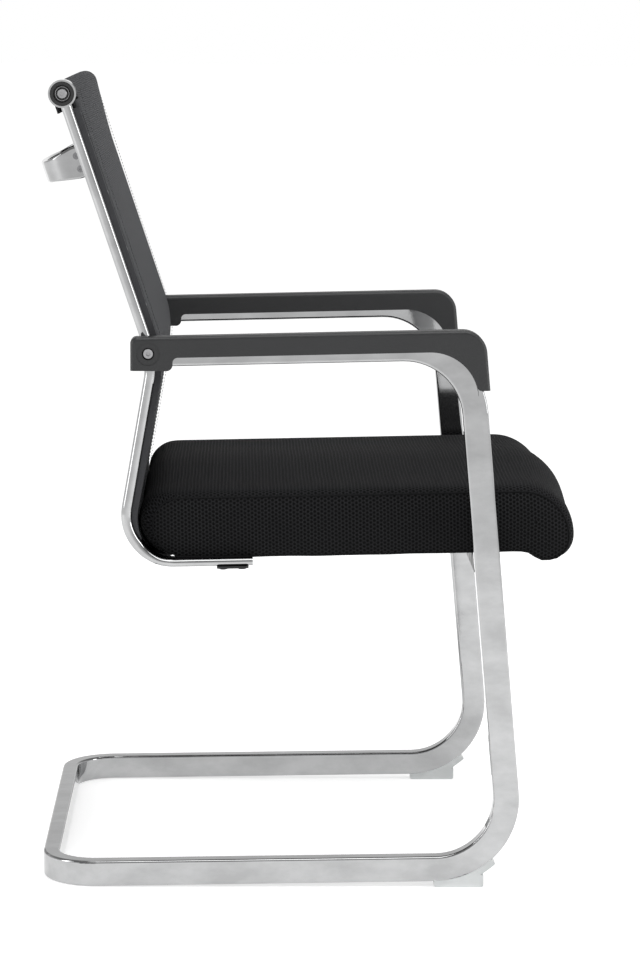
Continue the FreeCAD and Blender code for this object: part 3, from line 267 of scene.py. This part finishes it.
for finish, names in dressing.items():
    for name in names:
        worn = nodes[name].data.materials
        worn.clear()
        worn.append(finishes[finish])


# Helpers for the made pieces

def new_object(name, mesh, finish):
    """A made piece in its finish."""
    made = bpy.data.objects.new(name, mesh)
    scene.collection.objects.link(made)
    mesh.materials.append(finishes[finish])
    for face in mesh.polygons:
        face.use_smooth = True
    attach(made, "root")
    return made


def clean(mesh, merge=0.0, close=False):
    """Merges points nearer than merge, closes open ends and turns all faces outward."""
    worker = bmesh.new()
    worker.from_mesh(mesh)
    if merge:
        bmesh.ops.remove_doubles(worker, verts=worker.verts, dist=merge)
    if close:
        bmesh.ops.holes_fill(worker, edges=worker.edges)
    bmesh.ops.recalc_face_normals(worker, faces=worker.faces)
    worker.to_mesh(mesh)
    worker.free()


def surface_of(*names):
    """Search tree over the faces of these solids."""
    points, faces = [], []
    for name in names:
        mesh = nodes[name].data
        start = len(points)
        points += [vertex.co.copy() for vertex in mesh.vertices]
        faces += [[start + i for i in face.vertices] for face in mesh.polygons]
    return BVHTree.FromPolygons(points, faces)


def grid_mesh(name, rows, closed=False):
    """Quads over rows of points, each row as long as the others. Closed joins the rows' ends."""
    mesh = bpy.data.meshes.new(name)
    wide = len(rows[0])
    points = [point for row in rows for point in row]
    faces = []
    for i in range(len(rows) - 1):
        for j in range(wide if closed else wide - 1):
            k = (j + 1) % wide
            faces.append((i * wide + j, i * wide + k, (i + 1) * wide + k, (i + 1) * wide + j))
    mesh.from_pydata(points, [], faces)
    return mesh


def round_trim(name, points, radius, finish, closed=False):
    """Round trim along a line of points, as a mesh."""
    curve = bpy.data.curves.new(name, "CURVE")
    curve.dimensions = "3D"
    curve.bevel_depth = radius
    curve.bevel_resolution = 3
    curve.use_fill_caps = True
    spline = curve.splines.new("POLY")
    spline.points.add(len(points) - 1)
    for place, point in zip(spline.points, points):
        place.co = (*point, 1.0)
    spline.use_cyclic_u = closed
    holder = bpy.data.objects.new(name + "_line", curve)
    scene.collection.objects.link(holder)
    bpy.context.view_layer.update()
    mesh = bpy.data.meshes.new_from_object(holder.evaluated_get(
        bpy.context.evaluated_depsgraph_get()))
    mesh.name = name
    bpy.data.objects.remove(holder)
    mesh.materials.clear()
    return new_object(name, mesh, finish)


# Seat cushion: one closed form over the seat's solids, swollen between its seams

slope = math.radians(1.35)
seat_middle = Vector((0, 0.064, 0.388))
seat_forward = Vector((0, -math.cos(slope), math.sin(slope)))
seat_up = Vector((0, math.sin(slope), math.cos(slope)))
side_seam = 0.243
spine_height = 0.036
spine_rear = -0.088
spine_front = 0.330
side_swell = 0.0065
held_height = 0.006
held_front = 0.31
weld_gap = 0.0002
swell_cap = 0.006
swell_frames = 20
wave_height = 0.006
seam_radius = 0.0011


def seat_place(x, forward, up):
    return seat_middle + Vector((x, 0, 0)) + seat_forward * forward + seat_up * up


def ring_of_rays():
    """Start and direction of each ray round a section, in the seat's forward and up."""
    along, round_nose, round_rear = 54, 18, 16
    length = spine_front - spine_rear
    rays = [(spine_rear + length * i / along, 90.0) for i in range(along)]
    rays += [(spine_front, 90.0 - 180.0 * i / round_nose) for i in range(round_nose)]
    rays += [(spine_front - length * i / along, -90.0) for i in range(along)]
    rays += [(spine_rear, -90.0 - 180.0 * i / round_rear) for i in range(round_rear)]
    return rays


def seat_ring(tree, x, rays):
    """The seat's section at one station, found on its solids from outside."""
    reach = 0.3
    limit = side_seam - 0.0006
    cast_x = max(-limit, min(limit, x))
    ring = []
    for forward, angle in rays:
        turn = math.radians(angle)
        way = seat_forward * math.cos(turn) + seat_up * math.sin(turn)
        start = seat_place(cast_x, forward, spine_height)
        hit = tree.ray_cast(start + way * reach, -way, reach)[0]
        under = seat_place(x, forward, 0.0)
        if hit is None or (angle == -90.0 and hit.z > under.z):
            hit = under
        ring.append(Vector((x, hit.y, hit.z)))
    return ring


def seat_stations():
    """Places across the seat, closer together towards the seams."""
    step, even_part = 0.0085, 0.212
    half = [0.0]
    while half[-1] < even_part:
        half.append(half[-1] + step)
    half += [0.2185, 0.2245, 0.2295, 0.2340, 0.2375, 0.2400, 0.2418]
    half = sorted(set(round(x, 5) for x in half if x < side_seam - 0.001)) + [side_seam]
    return [-x for x in reversed(half)] + half[1:]


def side_panel(side, seam, rays, depths):
    """Rows of points from the seam inward to the spine, bulging outward."""
    spine = [seat_place(side * side_seam, forward, spine_height) for forward, _ in rays]
    panel = []
    for depth in depths + (None,):
        row = []
        for edge, middle in zip(seam, spine):
            share = 1.0 if depth is None else min(1.0, depth / (middle - edge).length)
            bulge = side_swell * (1 - (1 - share) ** 2.4)
            place = edge.lerp(middle, share)
            row.append(Vector((side * (side_seam + bulge), place.y, place.z)))
        panel.append(row)
    return panel


def seat_cushion():
    """The cushion as rows of points from its left middle to its right, and which are the seams."""
    tree = surface_of("seat_top_cover", "seat_dust_cover", "seat_board")
    rays = ring_of_rays()
    rings = [seat_ring(tree, x, rays) for x in seat_stations()]
    wide = len(rays)
    depths = (0.003, 0.008, 0.014, 0.021, 0.029)
    left = side_panel(-1, rings[0], rays, depths)
    right = side_panel(1, rings[-1], rays, depths)
    rows = left[::-1] + rings + right
    on_side = [1] * len(left) + [0] * (len(rings) - 1) + [1] * len(right)
    mesh = grid_mesh("seat_cushion", rows, closed=True)
    mesh.materials.append(finishes["seat_fabric"])
    mesh.materials.append(finishes["side_fabric"])
    weave = mesh.uv_layers.new(name="weave")
    middle_ring = rings[len(rings) // 2]
    round_way = [0.0]
    for a, b in zip(middle_ring, middle_ring[1:] + middle_ring[:1]):
        round_way.append(round_way[-1] + (b - a).length)
    for face in mesh.polygons:
        face.use_smooth = True
        row, column = divmod(face.index, wide)
        face.material_index = on_side[row]
        corners = ((row, column), (row, column + 1), (row + 1, column + 1), (row + 1, column))
        for loop, (r, c) in zip(face.loop_indices, corners):
            point = rows[r][c % wide]
            if on_side[row]:
                local = point - seat_middle
                weave.data[loop].uv = (local.dot(seat_up), local.dot(seat_forward))
            else:
                weave.data[loop].uv = (point.x, round_way[c])
    seam_rows = (len(depths) + 1, len(rows) - len(depths) - 2)
    cushion = bpy.data.objects.new("seat_cushion", mesh)
    scene.collection.objects.link(cushion)
    held = cushion.vertex_groups.new(name="held")
    for r, row in enumerate(rows):
        for c, point in enumerate(row):
            height = (point - seat_middle).dot(seat_up)
            forward = (point - seat_middle).dot(seat_forward)
            below = height < held_height and forward < held_front
            held.add([r * wide + c], 1.0 if below or r in seam_rows else 0.0, "REPLACE")
    return cushion, wide, seam_rows


def swell(piece, cap, frames, pressure=4.0):
    """Blows the piece up as cloth between the points that are held, by no more than cap."""
    rest = [vertex.co.copy() for vertex in piece.data.vertices]
    cloth = piece.modifiers.new("cloth", "CLOTH")
    settings = cloth.settings
    settings.quality = 6
    settings.mass = 0.25
    settings.tension_stiffness = 25
    settings.compression_stiffness = 18
    settings.shear_stiffness = 12
    settings.bending_stiffness = 1.5
    settings.use_pressure = True
    settings.uniform_pressure_force = pressure
    settings.vertex_group_mass = "held"
    settings.effector_weights.gravity = 0
    cloth.collision_settings.use_collision = False
    cloth.point_cache.frame_start = 1
    cloth.point_cache.frame_end = frames
    for step in range(1, frames + 1):
        scene.frame_set(step)
    bpy.context.view_layer.update()
    done = bpy.data.meshes.new_from_object(piece.evaluated_get(
        bpy.context.evaluated_depsgraph_get()))
    places = [vertex.co.copy() for vertex in done.vertices]
    piece.modifiers.remove(cloth)
    bpy.data.meshes.remove(done)
    scene.frame_set(1)
    for vertex, start, end in zip(piece.data.vertices, rest, places):
        move = end - start
        if move.length > cap:
            move *= cap / move.length
        vertex.co = start + move


cushion, wide, seam_rows = seat_cushion()
swell(cushion, swell_cap, swell_frames)

# The lower edge waves a little, as stapled cloth does
for vertex in cushion.data.vertices:
    height = (vertex.co - seat_middle).dot(seat_up)
    low = max(0.0, 1 - abs(height - 0.004) / 0.02)
    outer = max(0.0, abs(vertex.co.x) / side_seam - 0.6)
    wave = noise.noise(Vector((vertex.co.y * 24, vertex.co.x * 8, 3.1)))
    vertex.co += seat_up * wave * wave_height * (low * outer)
seam_lines = [[cushion.data.vertices[r * wide + c].co.copy() for c in range(wide)]
              for r in seam_rows]
clean(cushion.data, merge=weld_gap)
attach(cushion, "root")
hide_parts("seat_top_cover", "seat_foam", "seat_side_cover_left", "seat_side_cover_right")
smooth = cushion.modifiers.new("smooth", "SUBSURF")
smooth.levels = smooth.render_levels = 1

for side, line in zip(("left", "right"), seam_lines):
    round_trim("seat_seam_" + side, line, seam_radius, "seam_tape", closed=True)


# Felt under the seat

felt_rear, felt_front, felt_half, felt_corner = -0.074, 0.293, 0.227, 0.03
felt_thick = 0.0008


def rounded_rectangle(rear, front, half, radius, steps=8):
    corners = [(half - radius, rear + radius, -90), (half - radius, front - radius, 0),
               (radius - half, front - radius, 90), (radius - half, rear + radius, 180)]
    line = []
    for x, forward, start in corners:
        for i in range(steps + 1):
            turn = math.radians(start + 90 * i / steps)
            line.append((x + radius * math.cos(turn), forward + radius * math.sin(turn)))
    return line


def felt():
    """Thin felt over the board's underside, sagging a little inside its stapled edge."""
    border = rounded_rectangle(felt_rear, felt_front, felt_half, felt_corner)
    middle_forward = (felt_rear + felt_front) / 2
    rows = []
    for share in (0.0, 0.3, 0.6, 0.85, 0.95, 1.0):
        row = []
        for x, forward in border:
            drop = 0.0012 if share < 1.0 else 0.0
            ripple = 0.0006 * noise.noise(Vector((x * 30, forward * 30, 1.0)))
            row.append(seat_place(x * share, middle_forward + (forward - middle_forward) * share,
                                  0.0004 - drop + ripple))
        rows.append(row)
    mesh = grid_mesh("seat_felt", rows, closed=True)
    clean(mesh, merge=0.0003)
    piece = new_object("seat_felt", mesh, "dust_cover")
    thick = piece.modifiers.new("thick", "SOLIDIFY")
    thick.thickness = felt_thick
    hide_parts("seat_dust_cover")


felt()


# Mesh of the back, stretched over the top bar and tucked under the seat

# Places and headings of the side view are (Y, Z), and angles are from +Y towards +Z
boss = Vector((0.2835, 0.9230))
bar_half = 0.229
bar_bow, bar_crown = 0.014, 0.0025
upper_panel = 0.288
roll_half, panel_half, foot_half = 0.2282, 0.2355, 0.2275
upper_out, lower_out = 161.2, 189.7
stand_off = 0.06
mesh_stations = 61
roll_steps, panel_steps, kink_steps, low_steps, foot_steps, tail_steps = 15, 64, 14, 34, 16, 3
tail_step = 0.0068
mesh_thick = 0.0022


def heading(degrees):
    return Vector((math.cos(math.radians(degrees)), math.sin(math.radians(degrees))))


down_back, out_back = heading(upper_out + 90), heading(upper_out)
down_low, out_low = heading(lower_out + 90), heading(lower_out)
kink_front = boss + down_back * 0.3205
foot_start, foot_middle = Vector((0.1977, 0.4413)), Vector((0.1386, 0.4312))


def guides(x):
    """Rays that find the mesh's outer face at one station, from the roll over the top bar to the
    foot under the seat: (start, way, half the width there)."""
    share = 1 - (x / bar_half) ** 2
    bar = boss + out_back * bar_bow * share - down_back * bar_crown * share
    found = []
    for i in range(roll_steps):
        way = heading(upper_out - 180.0 + 180.0 * i / (roll_steps - 1))
        found.append((bar + way * 0.04, -way, roll_half))
    first_run, widen_from, widen_over = 0.002, 0.017, 0.012
    for i in range(panel_steps):
        run = first_run + (upper_panel - first_run) * i / (panel_steps - 1)
        widened = min(1.0, max(0.0, (run - widen_from) / widen_over))
        found.append((boss + down_back * run + out_back * stand_off, -out_back,
                      roll_half + (panel_half - roll_half) * widened))
    low_start = kink_front + down_low * 0.031
    high, low = found[-1][0], low_start + out_low * stand_off
    for i in range(1, kink_steps):
        turn = heading(upper_out + (lower_out - upper_out) * i / kink_steps)
        found.append((high.lerp(low, i / kink_steps) + turn * 0.004, -turn, panel_half))
    length = (foot_start - low_start).length
    for i in range(low_steps):
        found.append((low_start + down_low * length * i / low_steps + out_low * stand_off,
                      -out_low, panel_half))
    for i in range(foot_steps):
        way = heading(lower_out - 180.0 - 59.0 * i / (foot_steps - 1))
        found.append((foot_middle + way * 0.02, way, foot_half))
    return found


def mesh_columns():
    """Points of the outer face, one row for each station across the chair. Below the top bar the
    middle is drawn back, as a stretched mesh is between its tubes."""
    tree = surface_of("back_mesh")
    inset, reach = 0.001, 0.12
    rows = []
    for i in range(mesh_stations):
        across = 2 * i / (mesh_stations - 1) - 1
        row = []
        for j, (start, way, wide) in enumerate(guides(across * bar_half)):
            x = across * wide
            cast = max(inset - wide, min(wide - inset, x))
            hit = tree.ray_cast(Vector((cast, start.x, start.y)), Vector((0, way.x, way.y)),
                                reach)[0]
            if hit is None:
                row.append(None)
                continue
            run = (boss - Vector((hit.y, hit.z))).dot(-down_back)
            sag = max(0.0, 1 - run / upper_panel) if j >= roll_steps else 1.0
            back = bar_bow * (1 - across ** 2) * (sag - sag ** 2.2) if 0 < sag < 1 else 0.0
            row.append(Vector((x, hit.y - out_back.x * back, hit.z - out_back.y * back)))
        rows.append(row)
    for row in rows:
        for j, point in enumerate(row):
            if point is None:
                before = next((row[k] for k in range(j, -1, -1) if row[k]), None)
                after = next((row[k] for k in range(j, len(row)) if row[k]), None)
                row[j] = (before or after).lerp(after or before, 0.5)
        tail = Vector((0, down_back.x, down_back.y)) * tail_step
        first = row[0]
        row[:0] = [first + tail * k for k in range(tail_steps, 0, -1)]
    return rows


def back_sheet():
    rows = mesh_columns()
    mesh = grid_mesh("back_mesh_cloth", rows)
    wide = len(rows[0])
    middle = mesh_stations // 2
    down = [0.0]
    for a, b in zip(rows[middle], rows[middle][1:]):
        down.append(down[-1] + (b - a).length)
    weave = mesh.uv_layers.new(name="weave")
    for face in mesh.polygons:
        for loop, vertex in zip(face.loop_indices, face.vertices):
            row, column = divmod(vertex, wide)
            weave.data[loop].uv = (rows[row][column].x, down[column])
    piece = new_object("back_mesh_cloth", mesh, "back_mesh")
    thick = piece.modifiers.new("thick", "SOLIDIFY")
    thick.thickness = mesh_thick
    panel_face = mesh.polygons[middle * (wide - 1) + 40]
    thick.offset = 1.0 if panel_face.normal.y > 0 else -1.0
    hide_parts("back_mesh")
    return rows


mesh_rows = back_sheet()


# Stitches, the fold at the hem, and small rings

def stitches(name, line, outward, finish, step=0.0042, long=0.0027, radius=0.00042):
    """A row of short threads along a line of points, lifted along outward at each point."""
    runs, place = [0.0], 0.0
    for a, b in zip(line, line[1:]):
        runs.append(runs[-1] + (b - a).length)
    profile = ((0.0, 0.35), (0.2, 0.9), (0.5, 1.0), (0.8, 0.9), (1.0, 0.35))
    sides = 6
    points, faces = [], []
    while place + long < runs[-1]:
        ends = []
        for at in (place, place + long):
            k = next(i for i in range(1, len(runs)) if runs[i] >= at)
            share = (at - runs[k - 1]) / max(1e-9, runs[k] - runs[k - 1])
            ends.append((line[k - 1].lerp(line[k], share),
                         outward[k - 1].lerp(outward[k], share).normalized()))
        (start, lift), (end, _) = ends
        along = (end - start).normalized()
        aside = along.cross(lift).normalized()
        first = len(points)
        for share, wide in profile:
            middle = start.lerp(end, share) + lift * radius * (wide - 0.4)
            for i in range(sides):
                turn = math.tau * i / sides
                points.append(middle + (aside * math.cos(turn) + lift * math.sin(turn))
                              * radius * wide)
        rings = len(profile) - 1
        for ring in range(rings):
            for i in range(sides):
                a, b = first + ring * sides + i, first + ring * sides + (i + 1) % sides
                faces.append((a, b, b + sides, a + sides))
        faces.append(tuple(first + i for i in reversed(range(sides))))
        faces.append(tuple(first + rings * sides + i for i in range(sides)))
        place += step
    mesh = bpy.data.meshes.new(name)
    mesh.from_pydata(points, [], faces)
    new_object(name, mesh, finish)


stitch_from_seam, stitch_lift = 0.0034, 0.0006
for side, name, line in ((-1, "left", seam_lines[0]), (1, "right", seam_lines[1])):
    middle = seat_place(side * side_seam, (spine_rear + spine_front) / 2, spine_height)
    seam = line + line[:1]
    outward = [(point - middle).normalized() for point in seam]
    on_top = [point + Vector((-side * stitch_from_seam, 0, 0)) + way * stitch_lift
              for point, way in zip(seam, outward)]
    stitches("seat_stitches_" + name, on_top, outward, "dust_cover")

edge_station = 2
for name, k in (("left", edge_station), ("right", mesh_stations - 1 - edge_station)):
    line = mesh_rows[k][roll_steps + tail_steps:-14]
    normals = []
    for i in range(len(line)):
        a, b = line[max(0, i - 1)], line[min(len(line) - 1, i + 1)]
        normal = (b - a).cross(Vector((1, 0, 0))).normalized()
        normals.append(normal if normal.y > 0 else -normal)
    for face, lift in (("rear", 0.0001), ("front", -0.0023)):
        sign = 1 if lift > 0 else -1
        stitches("back_stitches_%s_%s" % (face, name),
                 [p + n * lift for p, n in zip(line, normals)], [n * sign for n in normals],
                 "edge_tape")


def hem_fold():
    """The mesh's spare length, folded forward of the hem bar under the back of the seat."""
    half_deep, half_tall, end_taper = 0.0135, 0.0062, 0.006
    stations, around = 49, 16
    rows = []
    for i in range(stations):
        x = foot_half * (2 * i / (stations - 1) - 1)
        end = min(1.0, max(0.02, (foot_half - abs(x)) / end_taper)) ** 0.5
        sway = 0.0012 * noise.noise(Vector((x * 14, 0.3, 5.0)))
        rows.append([(x, 0.1695 + sway + half_deep * end * math.cos(turn),
                      0.3885 + half_tall * end * math.sin(turn))
                     for turn in (math.tau * k / around for k in range(around))])
    mesh = grid_mesh("hem_fold", rows, closed=True)
    clean(mesh, close=True)
    new_object("hem_fold", mesh, "seam_tape")


hem_fold()

edge_end_line = ((0.2655, 0.9020), (0.2672, 0.9085), (0.2695, 0.9160))
washer_face = abs(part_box("top_washers")[0][0])
for side, name in ((-1, "left"), (1, "right")):
    round_trim("edge_end_" + name, [(side * 0.2395, y, z) for y, z in edge_end_line], 0.005,
               "edge_tape")
for side, name in ((-1, "left"), (1, "right")):
    turns = [math.tau * i / 40 for i in range(40)]
    round_trim("top_ring_" + name, [(side * washer_face, boss.x + 0.0079 * math.cos(turn),
                                     boss.y + 0.0079 * math.sin(turn)) for turn in turns],
               0.0008, "bright_fastener", closed=True)


# Floor, light and camera

def joined(tree, operation, first, second):
    """Output of a Math node on two outputs."""
    made = tree.nodes.new("ShaderNodeMath")
    made.operation = operation
    tree.links.new(first, made.inputs[0])
    tree.links.new(second, made.inputs[1])
    return made.outputs[0]


def seen_rays(tree):
    """1 for the rays that see the background itself: camera, glossy and transmission rays."""
    rays = tree.nodes.new("ShaderNodeLightPath").outputs
    seen = joined(tree, "MAXIMUM", rays["Is Camera Ray"], rays["Is Glossy Ray"])
    return joined(tree, "MAXIMUM", seen, rays["Is Transmission Ray"])


def stage_floor(far=60.0, glow_level=0.56):
    """Pale floor that keeps the shadow. What sees it directly sees it white where it is lit."""
    mesh = bpy.data.meshes.new("floor")
    mesh.from_pydata([(-far, -far, 0), (far, -far, 0), (far, far, 0), (-far, far, 0)], [],
                     [(0, 1, 2, 3)])
    floor = bpy.data.objects.new("floor", mesh)
    scene.collection.objects.link(floor)
    material = bpy.data.materials.new("floor")
    material.use_nodes = True
    tree = material.node_tree
    shader = tree.nodes["Principled BSDF"]
    shader.inputs["Base Color"].default_value = (0.8, 0.8, 0.8, 1)
    shader.inputs["Roughness"].default_value = 0.9
    shader.inputs["Specular IOR Level"].default_value = 0.0
    glow = tree.nodes.new("ShaderNodeEmission")
    level = tree.nodes.new("ShaderNodeMath")
    level.operation = "MULTIPLY"
    level.inputs[1].default_value = glow_level
    tree.links.new(seen_rays(tree), level.inputs[0])
    tree.links.new(level.outputs[0], glow.inputs["Strength"])
    add = tree.nodes.new("ShaderNodeAddShader")
    tree.links.new(shader.outputs[0], add.inputs[0])
    tree.links.new(glow.outputs[0], add.inputs[1])
    tree.links.new(add.outputs[0], tree.nodes["Material Output"].inputs["Surface"])
    mesh.materials.append(material)


def studio_world(level):
    world = bpy.data.worlds.new("studio")
    scene.world = world
    world.use_nodes = True
    tree = world.node_tree
    back = tree.nodes["Background"]
    back.inputs["Color"].default_value = (1, 1, 1, 1)
    # White at the horizon, greyer higher up, as the walls and ceiling of a studio are
    towards = tree.nodes.new("ShaderNodeSeparateXYZ")
    tree.links.new(tree.nodes.new("ShaderNodeTexCoord").outputs["Generated"], towards.inputs[0])
    fades = []
    for low, high, end in ((0.03, 0.14, 0.8), (0.2, 0.6, 0.35)):
        fade = tree.nodes.new("ShaderNodeMapRange")
        for socket, value in zip(fade.inputs[1:5], (low, high, 1.0, end)):
            socket.default_value = value
        tree.links.new(towards.outputs["Z"], fade.inputs[0])
        fades.append(fade.outputs[0])
    strength = tree.nodes.new("ShaderNodeMapRange")
    strength.inputs[3].default_value = level
    tree.links.new(seen_rays(tree), strength.inputs[0])
    tree.links.new(joined(tree, "MULTIPLY", *fades), strength.inputs[4])
    tree.links.new(strength.outputs[0], back.inputs["Strength"])


def lamp(name, place, target, size, power):
    data = bpy.data.lights.new(name, "AREA")
    data.shape = "RECTANGLE"
    data.size, data.size_y = size
    data.energy = power
    made = bpy.data.objects.new(name, data)
    scene.collection.objects.link(made)
    made.location = place
    made.rotation_euler = (Vector(target) - Vector(place)).to_track_quat("-Z", "Y").to_euler()


stage_floor()
studio_world(0.6)
lamp("top_box", (-0.6, -0.4, 3.2), (0, 0, 0.5), (2.6, 2.6), 55)
lamp("front_strip", (-1.2, -3.0, 1.6), (0, 0, 0.6), (0.8, 2.4), 30)
lamp("rear_strip", (-1.0, 3.0, 1.6), (0, 0, 0.6), (0.8, 2.4), 25)

# The photograph's view: 640 by 960 pixels, with the lens in pixels
lens_pixels, tall_pixels = 3221.0, 960.0
camera_place = (-3.9537, 0.0800, 1.0156)
yaw, pitch, roll = (math.radians(a) for a in (1.45, 8.24, 0.43))
look = Vector((math.cos(pitch) * math.cos(yaw), -math.cos(pitch) * math.sin(yaw),
               -math.sin(pitch)))
level_right = look.cross(Vector((0, 0, 1))).normalized()
level_up = level_right.cross(look)
right = level_right * math.cos(roll) + level_up * math.sin(roll)
up = level_up * math.cos(roll) - level_right * math.sin(roll)
lens = bpy.data.cameras.new("camera")
lens.sensor_width = 36.0
lens.lens = lens_pixels * lens.sensor_width / tall_pixels
lens.clip_end = 100.0
camera = bpy.data.objects.new("camera", lens)
scene.collection.objects.link(camera)
turned = Matrix((right, up, -look)).transposed().to_4x4()
camera.matrix_world = Matrix.Translation(camera_place) @ turned
scene.camera = camera
